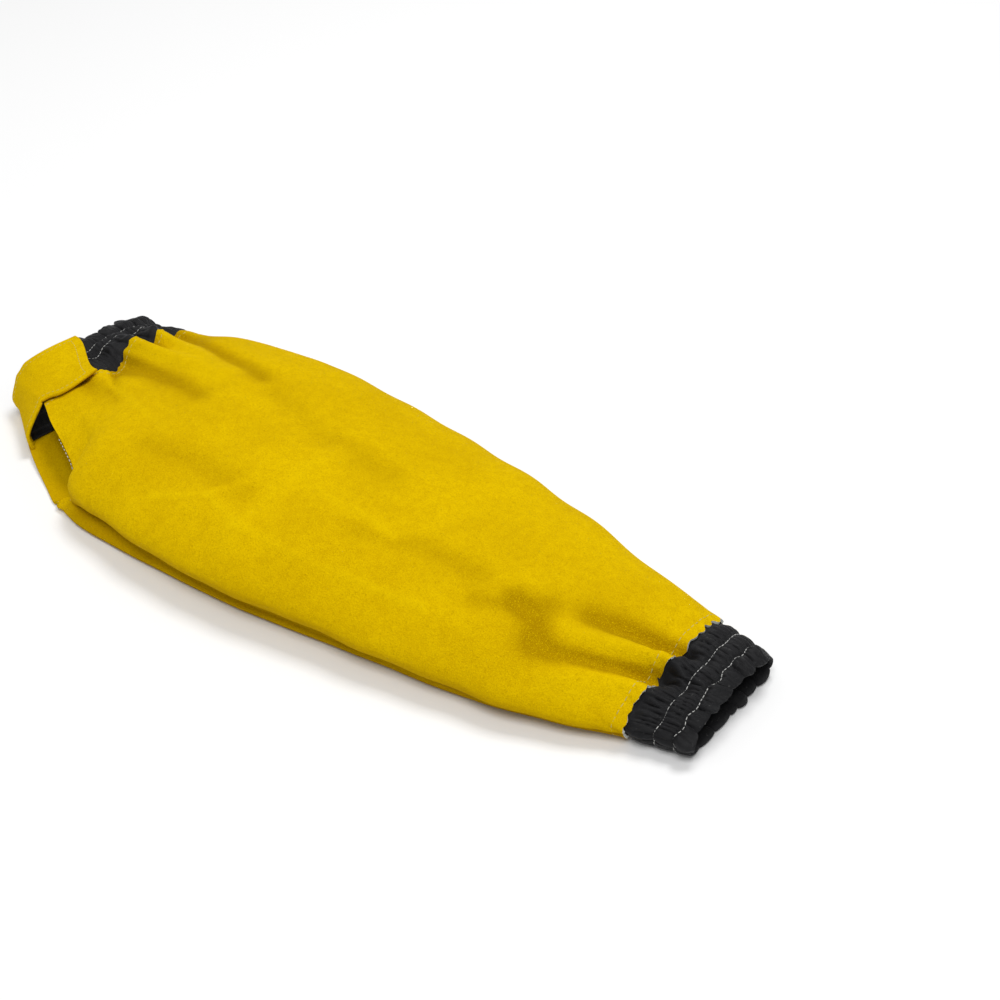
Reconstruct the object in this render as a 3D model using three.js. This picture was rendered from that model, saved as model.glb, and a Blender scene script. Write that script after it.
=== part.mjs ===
// A welder's protective sleeve, lying on a table: a tube of split leather with a gathered cloth
// cuff at each end. One cuff and the leather beside it are slit, and a leather tab closes the slit.
// Millimetres. +X runs along the sleeve from the slit cuff to the plain one, +Y is the side away
// from the slit, and +Z is up from the table. The origin is on the table, under the middle.

import * as THREE from "three";

// Sizes that can be set one by one
const leatherLength = 474; // between the two raw edges of the leather
const slitCuffLength = 48; // cloth that shows beyond the leather
const plainCuffLength = 38;
const bodyWidth = 215; // across the sleeve as it lies, at its widest
const bodyHeight = 57; // from the table to the highest crest
const leatherThickness = 1.6;
const clothThickness = 2.2; // folded cloth with the elastic inside
const seamOverlap = 10; // cloth that runs on under the leather
const layerGap = 0.35; // clearance between layers that are sewn or laid together
const slitLength = 84; // of the slit in the leather, from its raw edge
const slitClosing = 18; // stretch by the slit's end over which the two flaps come together
const lipHeight = 6; // of the fold that lies on the table along the seam
const tabWidth = 50;
const tabThickness = 2.4;
const tabGap = 1.4; // clearance between the tab and the flaps that it lies on
const tabUnderLength = 46; // of the tab sewn under the lower flap
const tabOnLeather = 3; // how far the tab's edge reaches over the leather
const tabBulge = 5; // how far the tab bows out where it bridges the slit
const tabSkew = 8; // how far the tab's free end lies further along the sleeve than its sewn end
const ruffleCount = 34; // gathers round each cuff
const skirtRuffle = 1.3; // depth of the gathers between the leather and the elastic
const channelRuffle = 0.8; // depth of the gathers over the elastic
const headingRuffle = 2.2; // depth of the gathers beyond the elastic

// Worked out from them
const halfWidth = bodyWidth / 2;
const sleeveLength = slitCuffLength + leatherLength + plainCuffLength;
const slitHemX = -sleeveLength / 2;
const slitEdgeX = slitHemX + slitCuffLength;
const plainEdgeX = slitEdgeX + leatherLength;
const slitEndX = slitEdgeX + slitLength;
const samplesAround = 2 * ruffleCount;

// A short table: a list of rows, each with its values under the columns' names
const table = (names, rows) =>
  rows.map((row) => Object.fromEntries(row.map((value, i) => [names[i], value])));

// Sections across the sleeve, from hem to hem. at: -1 is the slit cuff's hem, 0 and 1 the
// leather's two raw edges, slitEndAt the end of the slit and 2 the plain cuff's hem. near, roll
// and far are shares of half the body width: near is where the lower layer ends or folds on the
// table, roll where the upper layer reaches furthest, far the other side. top is a share of the
// body height. crease is how far the seam is drawn in, as a share of half the width, and edge its
// height as a share of the section's own. lift is how far the section stands on the tab. slant
// moves the near side along +X, as a share of the distance across.
const slitEndAt = 0.177;
const slantCentre = 0.2; // share of half the width, across, that the slant leaves in place
const sections = table(["at", "near", "roll", "far", "top", "crease", "edge", "lift", "slant"], [
  [-1.000, 0.340, 0.310, 0.645, 0.570, 0.000, 0.580, 1.000, 0.000],
  [-0.500, 0.500, 0.400, 0.690, 0.620, 0.000, 0.640, 1.000, 0.000],
  [0.000, 0.650, 0.485, 0.750, 0.680, 0.000, 0.680, 1.000, 0.000],
  [0.050, 0.755, 0.590, 0.805, 0.750, 0.000, 0.610, 0.400, 0.000],
  [0.100, 0.845, 0.667, 0.880, 0.820, 0.000, 0.490, 0.000, 0.000],
  [0.145, 0.925, 0.750, 0.925, 0.880, 0.000, 0.300, 0.000, 0.000],
  [0.177, 0.948, 0.890, 0.950, 0.920, 0.000, 0.150, 0.000, 0.000],
  [0.210, 0.970, 0.940, 0.970, 0.950, 0.070, 0.160, 0.000, 0.000],
  [0.258, 0.986, 0.965, 0.990, 0.980, 0.100, 0.170, 0.000, 0.000],
  [0.361, 0.932, 0.985, 0.990, 1.000, 0.115, 0.180, 0.000, 0.000],
  [0.487, 0.860, 0.974, 0.950, 0.980, 0.100, 0.180, 0.000, 0.000],
  [0.592, 0.780, 0.910, 0.925, 0.940, 0.080, 0.180, 0.000, 0.000],
  [0.697, 0.690, 0.815, 0.870, 0.870, 0.050, 0.180, 0.000, 0.000],
  [0.803, 0.600, 0.705, 0.800, 0.780, 0.025, 0.180, 0.000, 0.020],
  [0.887, 0.500, 0.590, 0.735, 0.670, 0.010, 0.200, 0.000, 0.050],
  [1.000, 0.290, 0.320, 0.670, 0.470, 0.000, 0.240, 0.000, 0.070],
  [1.500, 0.240, 0.255, 0.650, 0.430, 0.000, 0.260, 0.000, 0.070],
  [2.000, 0.185, 0.195, 0.630, 0.380, 0.000, 0.280, 0.000, 0.060],
]);

// The section's outline from the lower layer's middle round the far side to the near shoulder.
// across is the share of the way from roll to far, up the share of the section's height.
const outline = table(["across", "up"], [
  [0.310, 0.000], [0.460, 0.000], [0.640, 0.000], [0.820, 0.000],
  [0.935, 0.055], [0.992, 0.240], [0.985, 0.520], [0.920, 0.770],
  [0.800, 0.910], [0.620, 0.985], [0.440, 1.000], [0.260, 0.930],
  [0.120, 0.790],
]);

// Ridges, where height is above 0, and valleys on the upper side, each along three points seen
// from above. x1 to x3 are shares of the leather's length, y1 to y3 of half the width, wide1 and
// wide2 the half width at its two ends as shares of half the body width, height1 and height2 as
// shares of the body height.
const foldsBegin = 0.45; // share of the section's height from which they begin to show
const foldsWhole = 0.8; // and from which they have their whole height
const folds = table(["x1", "y1", "x2", "y2", "x3", "y3", "wide1", "wide2", "height1", "height2"], [
  [-0.040, -0.210, 0.030, -0.240, 0.080, -0.270, 0.055, 0.090, -0.060, -0.020],
  [-0.040, -0.100, 0.040, -0.130, 0.100, -0.160, 0.055, 0.100, 0.015, 0.020],
  [-0.040, 0.050, 0.050, -0.020, 0.130, -0.060, 0.060, 0.130, -0.110, -0.010],
  [-0.040, 0.270, 0.080, 0.260, 0.240, 0.310, 0.070, 0.140, 0.090, 0.010],
  [-0.040, 0.370, 0.050, 0.370, 0.140, 0.440, 0.050, 0.090, -0.085, -0.010],
  [-0.040, 0.460, 0.070, 0.440, 0.210, 0.520, 0.055, 0.120, 0.080, 0.010],
  [-0.040, 0.550, 0.040, 0.570, 0.100, 0.640, 0.050, 0.090, -0.075, 0.000],
  [1.030, 0.240, 0.955, 0.120, 0.900, 0.030, 0.050, 0.120, -0.100, -0.030],
  [1.030, 0.190, 0.965, 0.050, 0.900, -0.140, 0.055, 0.120, 0.080, 0.040],
  [1.030, 0.040, 0.950, -0.130, 0.870, -0.300, 0.055, 0.120, -0.100, -0.030],
  [1.030, -0.080, 0.960, -0.170, 0.910, -0.420, 0.050, 0.100, 0.070, 0.020],
  [0.815, -0.140, 0.855, -0.190, 0.890, -0.150, 0.070, 0.090, -0.045, -0.020],
  [0.473, -0.850, 0.470, -0.400, 0.472, 0.100, 0.060, 0.060, 0.025, 0.010],
]);

// Places where the gathered cloth has pulled the leather's raw edge by the slit along the sleeve.
// across is the middle of the place and wide its half width, as shares of half the body width.
const pullReach = 26; // distance from the raw edge over which a pull dies away
const edgePulls = table(["across", "wide", "pull"], [
  [-0.03, 0.14, 13],
  [0.36, 0.09, 6],
]);

const mix = (a, b, t) => a + (b - a) * t;
const mixPoint = (a, b, t) => [mix(a[0], b[0], t), mix(a[1], b[1], t)];
const clampShare = (t) => Math.min(1, Math.max(0, t));
const smooth = (t) => clampShare(t) ** 2 * (3 - 2 * clampShare(t));

// Where a share of the table's at column lies along the sleeve.
function alongX(at) {
  if (at < 0) return slitEdgeX + at * slitCuffLength;
  if (at > 1) return plainEdgeX + (at - 1) * plainCuffLength;
  if (at < slitEndAt) return mix(slitEdgeX, slitEndX, at / slitEndAt);
  return mix(slitEndX, plainEdgeX, (at - slitEndAt) / (1 - slitEndAt));
}

// The sections' columns at a place along the sleeve, on a smooth curve through the rows.
const rowX = sections.map((row) => alongX(row.at));
function sectionAt(x) {
  let i = 0;
  while (i < rowX.length - 2 && x > rowX[i + 1]) i++;
  const span = rowX[i + 1] - rowX[i];
  const t = clampShare((x - rowX[i]) / span);
  const found = {};
  for (const key of Object.keys(sections[0])) {
    const value = (k) => sections[Math.min(rowX.length - 1, Math.max(0, k))][key];
    const slope = (k) => {
      const a = Math.max(0, k - 1);
      const b = Math.min(rowX.length - 1, k + 1);
      return (value(b) - value(a)) / (rowX[b] - rowX[a]);
    };
    const t2 = t * t;
    const t3 = t2 * t;
    found[key] =
      (2 * t3 - 3 * t2 + 1) * value(i) +
      (t3 - 2 * t2 + t) * span * slope(i) +
      (3 * t2 - 2 * t3) * value(i + 1) +
      (t3 - t2) * span * slope(i + 1);
  }
  return found;
}

// Height of the lower layer's middle where it lies flat
const floorOf = (row) => leatherThickness / 2 + row.lift * (tabThickness + tabGap);

// A section's control points, [across, up], from the lower layer's edge to the upper layer's.
// Where the seam is closed, both ends are the one point that the seam is drawn in to.
function controlPoints(x) {
  const row = sectionAt(x);
  const near = -row.near * halfWidth;
  const roll = -row.roll * halfWidth;
  const far = row.far * halfWidth - leatherThickness / 2;
  const floor = floorOf(row);
  const height = row.top * bodyHeight - leatherThickness / 2 - floor;
  const drawnIn = Math.max(0, row.crease) * halfWidth;
  const undercut = Math.max(0, near - roll);
  const folded = Math.min(1, drawnIn / (0.1 * halfWidth));
  const apart = smooth((slitEndX - x) / slitClosing);
  const seam = [roll + drawnIn + 0.3 * undercut * (1 - folded), floor + row.edge * height];
  const lip = [near, floor + 0.42 * lipHeight];
  const lipTop = [near + 0.5 * lipHeight, floor + 0.85 * lipHeight];
  const closedStart = [seam, mixPoint(mixPoint(seam, lip, 0.5), lipTop, folded), lip];
  const openStart = [0.0, 0.6, 1.3].map((share) => [near + share * lipHeight, floor]);
  const reach = outline.map((p) => [mix(roll, far, p.across), floor + p.up * height]);
  const shoulder = reach[reach.length - 1];
  const closedEnd = [
    [roll, mix(seam[1], shoulder[1], 0.45)],
    [roll + 0.22 * drawnIn, mix(seam[1], shoulder[1], 0.17)],
    seam,
  ];
  const flapEdge = [roll, seam[1]];
  const openEnd = [mixPoint(flapEdge, shoulder, 0.66), mixPoint(flapEdge, shoulder, 0.33), flapEdge];
  const blend = (closed, open) => closed.map((p, i) => mixPoint(p, open[i], apart));
  const start = blend(closedStart, openStart);
  const short = Math.min(...start.map((p) => p[0])) - near;
  const turning = 4 * apart * (1 - apart); // 1 halfway, so that the fold still reaches as far out
  return [
    ...start.map((p) => [p[0] - turning * short, p[1]]),
    [near + mix(0.8, 2.6, apart) * lipHeight, floor],
    [near + 4 * lipHeight, floor],
    ...reach,
    ...blend(closedEnd, openEnd),
  ];
}

// The section's curve at a place x, from the lower layer's edge round to the upper layer's. Its
// parameter runs alike through the control points of every section.
const curves = new Map();
function curveAt(x) {
  const key = x.toFixed(4);
  if (!curves.has(key)) {
    const points = controlPoints(x).map(([y, z]) => new THREE.Vector3(0, y, z));
    curves.set(key, new THREE.CatmullRomCurve3(points, false, "centripetal"));
  }
  return curves.get(key);
}

// Height of the ridges and valleys at a place seen from above.
function foldHeight(x, y) {
  const px = x - slitEdgeX;
  let total = 0;
  for (const f of folds) {
    const shares = [[f.x1, f.y1], [f.x2, f.y2], [f.x3, f.y3]];
    const corners = shares.map(([a, b]) => [a * leatherLength, b * halfWidth]);
    let best = { distance: Infinity, share: 0 };
    for (let i = 0; i < 2; i++) {
      const [ax, ay] = corners[i];
      const dx = corners[i + 1][0] - ax;
      const dy = corners[i + 1][1] - ay;
      const t = clampShare(((px - ax) * dx + (y - ay) * dy) / (dx * dx + dy * dy));
      const distance = Math.hypot(px - ax - t * dx, y - ay - t * dy);
      if (distance < best.distance) best = { distance, share: (i + t) / 2 };
    }
    const wide = mix(f.wide1, f.wide2, best.share) * halfWidth;
    const height = mix(f.height1, f.height2, best.share) * bodyHeight;
    total += height * Math.exp(-((best.distance / wide) ** 2));
  }
  return total;
}

// How far a place seen from above is pulled along the sleeve.
function edgePull(x, y) {
  const near = Math.exp(-(((x - slitEdgeX) / pullReach) ** 2));
  const share = (row) => Math.exp(-(((y / halfWidth - row.across) / row.wide) ** 2));
  return edgePulls.reduce((total, row) => total + near * share(row) * row.pull, 0);
}

// A point of the sleeve's middle surface at a place along it and a parameter of the section's
// curve. folded is 1 with the ridges, valleys and pulls and 0 without them.
function surface(x, t, folded = 1) {
  const row = sectionAt(x);
  const p = curveAt(x).getPoint(clampShare(t));
  const upper = smooth((p.z / (row.top * bodyHeight) - foldsBegin) / (foldsWhole - foldsBegin));
  const z = Math.max(floorOf(row), p.z + folded * upper * foldHeight(x, p.y));
  const pull = folded * upper * edgePull(x, p.y);
  return new THREE.Vector3(x + pull - row.slant * (p.y - slantCentre * halfWidth), p.y, z);
}

// A point that lies off the middle surface by a distance, outwards if it is above 0.
function offset(x, t, distance, folded = 1) {
  const dx = 0.5;
  const dt = 0.003;
  const along = surface(x + dx, t, folded).sub(surface(x - dx, t, folded));
  const about = surface(x, clampShare(t + dt), folded).sub(surface(x, clampShare(t - dt), folded));
  return surface(x, t, folded).addScaledVector(about.cross(along).normalize(), distance);
}

// A share from 0 to 1 drawn towards both ends by a share of its own
const crowded = (s, drawn) => s - (drawn * Math.sin(2 * Math.PI * s)) / (2 * Math.PI);

// The curve parameters of the columns of a wall. They are even round the middle of the sleeve,
// but closer together on the near side, where the seam is drawn in.
const columns = Array.from({ length: samplesAround + 1 }, (_, k) =>
  curveAt(0).getUtoTmapping(crowded(k / samplesAround, 0.35)),
);

// A closed wall between an outer and an inner grid of points. slitRows is the number of rows
// at the start that are open between their first and last column: there the wall has two more
// edges, and past it the first and last columns are one.
function wall(name, outer, inner, slitRows, material) {
  const rows = outer.length;
  const last = outer[0].length - 1;
  const positions = [];
  const index = [];
  const seen = new Map();
  const number = (side, r, c) => {
    const closed = r >= slitRows && c === last;
    const key = `${side}/${r}/${closed ? 0 : c}`;
    if (!seen.has(key)) {
      const p = (side === "outer" ? outer : inner)[r][closed ? 0 : c];
      seen.set(key, positions.length / 3);
      positions.push(p.x, p.y, p.z);
    }
    return seen.get(key);
  };
  const quad = (...corners) => {
    const [a, b, c, d] = corners.map((corner) => number(...corner));
    index.push(a, b, c, a, c, d);
  };
  for (let r = 0; r < rows - 1; r++)
    for (let c = 0; c < last; c++) {
      quad(["outer", r, c], ["outer", r, c + 1], ["outer", r + 1, c + 1], ["outer", r + 1, c]);
      quad(["inner", r, c], ["inner", r + 1, c], ["inner", r + 1, c + 1], ["inner", r, c + 1]);
    }
  const end = rows - 1;
  for (let c = 0; c < last; c++) {
    quad(["outer", 0, c], ["inner", 0, c], ["inner", 0, c + 1], ["outer", 0, c + 1]);
    quad(["outer", end, c + 1], ["inner", end, c + 1], ["inner", end, c], ["outer", end, c]);
  }
  for (let r = 0; r < Math.min(slitRows, end); r++) {
    quad(["outer", r, 0], ["outer", r + 1, 0], ["inner", r + 1, 0], ["inner", r, 0]);
    quad(["outer", r + 1, last], ["outer", r, last], ["inner", r, last], ["inner", r + 1, last]);
  }
  const geometry = new THREE.BufferGeometry();
  geometry.setAttribute("position", new THREE.Float32BufferAttribute(positions, 3));
  geometry.setIndex(index);
  geometry.computeVertexNormals();
  const mesh = new THREE.Mesh(geometry, material);
  mesh.name = name;
  return mesh;
}

// A grid of points, a row for each place along the sleeve. level gives the distance outwards.
const grid = (places, level) => places.map((x) => columns.map((t, k) => offset(x, t, level(x, k))));

// Places from a to b in even steps, or drawn towards both ends.
const places = (a, b, steps, drawn = 0) =>
  Array.from({ length: steps + 1 }, (_, i) => mix(a, b, crowded(i / steps, drawn)));

// A material without metal, from its name, colour and roughness
const finish = (name, color, roughness) =>
  new THREE.MeshStandardMaterial({ name, color, roughness, metalness: 0 });
const suede = finish("yellow_suede", 0xdcb604, 0.95);
const cloth = finish("black_cotton", 0x17171a, 0.85);

// The leather tube, open along the slit
function leatherBody() {
  const half = leatherThickness / 2;
  const slitPart = [slitEdgeX, ...places(slitEdgeX + seamOverlap, slitEndX, 6)];
  const tubePart = places(slitEndX, plainEdgeX - seamOverlap, 15, 0.4).slice(1);
  const stations = [...slitPart, ...tubePart, plainEdgeX];
  const outer = grid(stations, () => half);
  const inner = grid(stations, () => -half);
  return wall("leather_body", outer, inner, slitPart.length - 1, suede);
}

// Depth of a cuff's gathers at shares of the way from the leather's edge to the hem
const gathers = table(["share", "depth"], [
  [0.0, 0], [0.28, skirtRuffle], [0.55, channelRuffle], [0.78, channelRuffle],
  [0.9, headingRuffle], [1.0, headingRuffle],
]);
function gatherDepth(share) {
  let i = 0;
  while (i < gathers.length - 2 && share > gathers[i + 1].share) i++;
  const from = gathers[i];
  const to = gathers[i + 1];
  return mix(from.depth, to.depth, clampShare((share - from.share) / (to.share - from.share)));
}

// A cloth cuff. Its wall lies under the leather as far as the overlap, and comes out level with
// it over the skirt, which starts a little beyond the raw edge. Every second column is drawn in,
// each by its own share of the depth.
const skirtStart = 2.5;
const skirtShare = 0.3;
function cuff(name, edgeX, hemX) {
  const sign = Math.sign(hemX - edgeX);
  const length = Math.abs(hemX - edgeX);
  const tucked = -(leatherThickness / 2 + layerGap);
  const shares = [0, skirtStart / length, ...gathers.slice(1).map((g) => g.share)];
  const stations = [edgeX - sign * seamOverlap, ...shares.map((share) => edgeX + sign * share * length)];
  if (sign < 0) stations.reverse();
  const level = (x, k) => {
    const share = (sign * (x - edgeX)) / length;
    const drawn = k % 2 ? 0 : 0.65 + 0.35 * Math.sin(2.4 * k);
    return tucked * (1 - smooth(share / skirtShare)) - gatherDepth(share) * drawn;
  };
  const slitRows = sign < 0 ? stations.length : 0;
  const outer = grid(stations, level);
  const inner = grid(stations, (x, k) => level(x, k) - clothThickness);
  return wall(name, outer, inner, slitRows, cloth);
}

// The closing tab's middle line at a place along the sleeve: from its free end on the upper flap,
// over the slit, to its sewn end under the lower flap. It passes over the ridges and valleys.
const tabEnd = { byLeather: -0.06, byHem: 0.07 }; // across, as shares of half the width
function tabLine(x, edgeX) {
  const rest = leatherThickness / 2 + tabGap + tabThickness / 2;
  const curve = curveAt(x);
  const endY = mix(tabEnd.byLeather, tabEnd.byHem, smooth((edgeX - x) / tabWidth)) * halfWidth;
  let start = 1;
  while (surface(x + tabSkew, start, 0).y < endY) start -= 0.005;
  const skewed = (i) => x + tabSkew * (1 - smooth(i / 4));
  const upper = places(start, 1, 4).map((t, i) => offset(skewed(i), t, rest, 0));
  const lower = places(0, tabUnderLength, 3).map((d) => offset(x, curve.getUtoTmapping(0, d), rest, 0));
  const top = upper[upper.length - 1];
  const under = lower[0];
  const off = top.clone().sub(upper[upper.length - 2]).setLength(tabBulge);
  const bow = Math.min(top.y + off.y, under.y) - tabBulge;
  const bridge = [
    top.clone().addScaledVector(off, 0.5),
    top.clone().add(off),
    new THREE.Vector3(x, bow, mix(under.z, top.z, 0.42)),
    new THREE.Vector3(x, mix(bow, under.y, 0.4), mix(under.z, top.z, 0.14)),
  ];
  return new THREE.CatmullRomCurve3([...upper, ...bridge, ...lower], false, "centripetal");
}

// The closing tab, a strap with a line for each step across its width
function closureTab() {
  const acrossSteps = 6;
  const alongSteps = 30;
  const edgeX = slitEdgeX + tabOnLeather;
  const middle = places(edgeX - tabWidth, edgeX, acrossSteps).map((x) =>
    tabLine(x, edgeX).getSpacedPoints(alongSteps).map((p) => p.setZ(Math.max(p.z, tabThickness / 2))),
  );
  const normal = (r, c) => {
    const a = middle[Math.min(acrossSteps, r + 1)][c].clone().sub(middle[Math.max(0, r - 1)][c]);
    const b = middle[r][Math.min(alongSteps, c + 1)].clone().sub(middle[r][Math.max(0, c - 1)]);
    return a.cross(b).normalize();
  };
  const side = (distance) =>
    middle.map((row, r) => row.map((p, c) => p.clone().addScaledVector(normal(r, c), distance)));
  return wall("closure_tab", side(-tabThickness / 2), side(tabThickness / 2), middle.length, suede);
}

const sleeve = new THREE.Group();
sleeve.add(leatherBody());
sleeve.add(cuff("slit_cuff", slitEdgeX, slitHemX));
sleeve.add(cuff("plain_cuff", plainEdgeX, plainEdgeX + plainCuffLength));
sleeve.add(closureTab());
export default sleeve;
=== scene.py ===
# A leather welding sleeve with two gathered cotton cuffs, lying on a pale floor.
import math
import bpy
import numpy as np
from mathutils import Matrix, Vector


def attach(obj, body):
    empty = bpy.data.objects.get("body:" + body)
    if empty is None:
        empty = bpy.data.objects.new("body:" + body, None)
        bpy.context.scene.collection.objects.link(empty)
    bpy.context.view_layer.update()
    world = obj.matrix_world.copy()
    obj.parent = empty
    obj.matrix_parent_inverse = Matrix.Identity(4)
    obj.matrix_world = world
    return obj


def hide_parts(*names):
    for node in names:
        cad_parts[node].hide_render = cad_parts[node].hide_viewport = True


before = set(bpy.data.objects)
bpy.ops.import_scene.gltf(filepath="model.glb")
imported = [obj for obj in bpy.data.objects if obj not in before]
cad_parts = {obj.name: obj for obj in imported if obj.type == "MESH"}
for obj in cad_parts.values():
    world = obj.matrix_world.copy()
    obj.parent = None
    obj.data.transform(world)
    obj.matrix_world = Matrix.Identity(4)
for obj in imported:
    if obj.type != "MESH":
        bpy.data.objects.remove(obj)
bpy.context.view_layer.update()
bpy.ops.object.select_all(action="DESELECT")
print("frame loaded")

millimetre = 0.001
chance = np.random.default_rng(12)  # the one source of random numbers, always drawn in this order

# The sleeve's sizes in millimetres, as in the part's source. Only the tab's end lies a little otherwise.
sleeve = {
    "leatherLength": 474, "slitCuffLength": 48, "plainCuffLength": 38, "bodyWidth": 215, "bodyHeight": 57,
    "leatherThickness": 1.6, "clothThickness": 2.2, "seamOverlap": 10, "layerGap": 0.35,
    "slitLength": 84, "slitClosing": 18, "lipHeight": 6, "slitEndAt": 0.177, "slantCentre": 0.2,
    "tabWidth": 50, "tabThickness": 2.4, "tabGap": 1.4, "tabUnderLength": 46, "tabOnLeather": 3,
    "tabSkew": 8, "tabEndByLeather": -0.14, "tabEndByHem": 0.085,
    "pullReach": 26, "foldsBegin": 0.45, "foldsWhole": 0.8,
}
halfWidth = sleeve["bodyWidth"] / 2
bodyHeight = sleeve["bodyHeight"]
halfLeather = sleeve["leatherThickness"] / 2
slitHemX = -(sleeve["slitCuffLength"] + sleeve["leatherLength"] + sleeve["plainCuffLength"]) / 2
slitEdgeX = slitHemX + sleeve["slitCuffLength"]
plainEdgeX = slitEdgeX + sleeve["leatherLength"]
plainHemX = plainEdgeX + sleeve["plainCuffLength"]
slitEndX = slitEdgeX + sleeve["slitLength"]

# Sections across the sleeve from hem to hem, with the columns of the part's source. Between 0.258 and
# 0.887 the upper layer stays back a little from the near edge, so that the lip shows below the crease.
sectionColumns = ["at", "near", "roll", "far", "top", "crease", "edge", "lift", "slant"]
sections = np.array([
    [-1.000, 0.340, 0.310, 0.645, 0.570, 0.000, 0.580, 1.000, 0.000],
    [-0.500, 0.500, 0.400, 0.690, 0.620, 0.000, 0.640, 1.000, 0.000],
    [0.000, 0.650, 0.485, 0.750, 0.680, 0.000, 0.680, 1.000, 0.000],
    [0.050, 0.755, 0.590, 0.805, 0.750, 0.000, 0.610, 0.400, 0.000],
    [0.100, 0.845, 0.667, 0.880, 0.820, 0.000, 0.490, 0.000, 0.000],
    [0.145, 0.925, 0.750, 0.925, 0.880, 0.000, 0.300, 0.000, 0.000],
    [0.177, 0.948, 0.890, 0.950, 0.920, 0.000, 0.150, 0.000, 0.000],
    [0.210, 0.970, 0.940, 0.970, 0.950, 0.070, 0.160, 0.000, 0.000],
    [0.258, 0.969, 0.961, 0.990, 0.980, 0.100, 0.170, 0.000, 0.000],
    [0.361, 0.935, 0.982, 0.990, 1.000, 0.115, 0.180, 0.000, 0.000],
    [0.487, 0.879, 0.946, 0.950, 0.980, 0.100, 0.180, 0.000, 0.000],
    [0.592, 0.795, 0.855, 0.925, 0.940, 0.080, 0.180, 0.000, 0.000],
    [0.697, 0.703, 0.773, 0.870, 0.870, 0.050, 0.180, 0.000, 0.000],
    [0.803, 0.611, 0.662, 0.800, 0.780, 0.025, 0.180, 0.000, 0.020],
    [0.887, 0.495, 0.562, 0.735, 0.670, 0.010, 0.200, 0.000, 0.050],
    [1.000, 0.290, 0.320, 0.670, 0.470, 0.000, 0.240, 0.000, 0.070],
    [1.500, 0.240, 0.255, 0.650, 0.430, 0.000, 0.260, 0.000, 0.070],
    [2.000, 0.185, 0.195, 0.630, 0.380, 0.000, 0.280, 0.000, 0.060],
])
# The outline from the lower layer's middle round the far side, as (across, up) shares
outline = [
    (0.31, 0.0), (0.46, 0.0), (0.64, 0.0), (0.82, 0.0), (0.935, 0.055), (0.992, 0.24), (0.985, 0.52),
    (0.92, 0.77), (0.8, 0.91), (0.62, 0.985), (0.44, 1.0), (0.26, 0.93), (0.12, 0.79),
]
# Ridges and valleys: x1 y1 x2 y2 x3 y3 wide1 wide2 height1 height2
mainFolds = [
    [-0.040, -0.210, 0.030, -0.240, 0.080, -0.270, 0.055, 0.090, -0.060, -0.020],
    [-0.040, -0.100, 0.040, -0.130, 0.100, -0.160, 0.055, 0.100, 0.015, 0.020],
    [-0.040, 0.050, 0.050, -0.020, 0.130, -0.060, 0.060, 0.130, -0.110, -0.010],
    [-0.040, 0.270, 0.080, 0.260, 0.240, 0.310, 0.070, 0.140, 0.090, 0.010],
    [-0.040, 0.370, 0.050, 0.370, 0.140, 0.440, 0.050, 0.090, -0.085, -0.010],
    [-0.040, 0.460, 0.070, 0.440, 0.210, 0.520, 0.055, 0.120, 0.080, 0.010],
    [-0.040, 0.550, 0.040, 0.570, 0.100, 0.640, 0.050, 0.090, -0.075, 0.000],
    [1.030, 0.240, 0.955, 0.120, 0.900, 0.030, 0.050, 0.120, -0.100, -0.030],
    [1.030, 0.190, 0.965, 0.050, 0.900, -0.140, 0.055, 0.120, 0.080, 0.040],
    [1.030, 0.040, 0.950, -0.130, 0.870, -0.300, 0.055, 0.120, -0.100, -0.030],
    [1.030, -0.080, 0.960, -0.170, 0.910, -0.420, 0.050, 0.100, 0.070, 0.020],
    [0.815, -0.140, 0.855, -0.190, 0.890, -0.150, 0.070, 0.090, -0.045, -0.020],
    [0.473, -0.850, 0.470, -0.400, 0.472, 0.100, 0.060, 0.060, 0.025, 0.010],
]
# Places where the cuff pulls the leather's raw edge by the slit along the sleeve: across, wide, pull
edgePulls = [(-0.03, 0.14, 13), (0.36, 0.09, 6)]


def clampShare(t):
    return np.clip(t, 0.0, 1.0)


def smooth(t):
    t = clampShare(t)
    return t * t * (3 - 2 * t)


def mix(a, b, t):
    return a + (b - a) * t


def alongX(at):
    if at < 0:
        return slitEdgeX + at * sleeve["slitCuffLength"]
    if at > 1:
        return plainEdgeX + (at - 1) * sleeve["plainCuffLength"]
    if at < sleeve["slitEndAt"]:
        return mix(slitEdgeX, slitEndX, at / sleeve["slitEndAt"])
    return mix(slitEndX, plainEdgeX, (at - sleeve["slitEndAt"]) / (1 - sleeve["slitEndAt"]))


sectionX = np.array([alongX(at) for at in sections[:, 0]])


# The columns of the sections' table at a place along the sleeve, on a smooth curve through the rows
def sectionAt(x):
    last = len(sectionX) - 1
    i = int(np.clip(np.searchsorted(sectionX, x, side="left") - 1, 0, last - 1))
    span = sectionX[i + 1] - sectionX[i]
    t = float(clampShare((x - sectionX[i]) / span))

    def slope(k):
        a, b = max(0, k - 1), min(last, k + 1)
        return (sections[b] - sections[a]) / (sectionX[b] - sectionX[a])

    t2, t3 = t * t, t * t * t
    values = (2 * t3 - 3 * t2 + 1) * sections[i] + (t3 - 2 * t2 + t) * span * slope(i)
    values = values + (3 * t2 - 2 * t3) * sections[i + 1] + (t3 - t2) * span * slope(i + 1)
    return dict(zip(sectionColumns, values))


def floorOf(row):
    return halfLeather + row["lift"] * (sleeve["tabThickness"] + sleeve["tabGap"])


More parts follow.
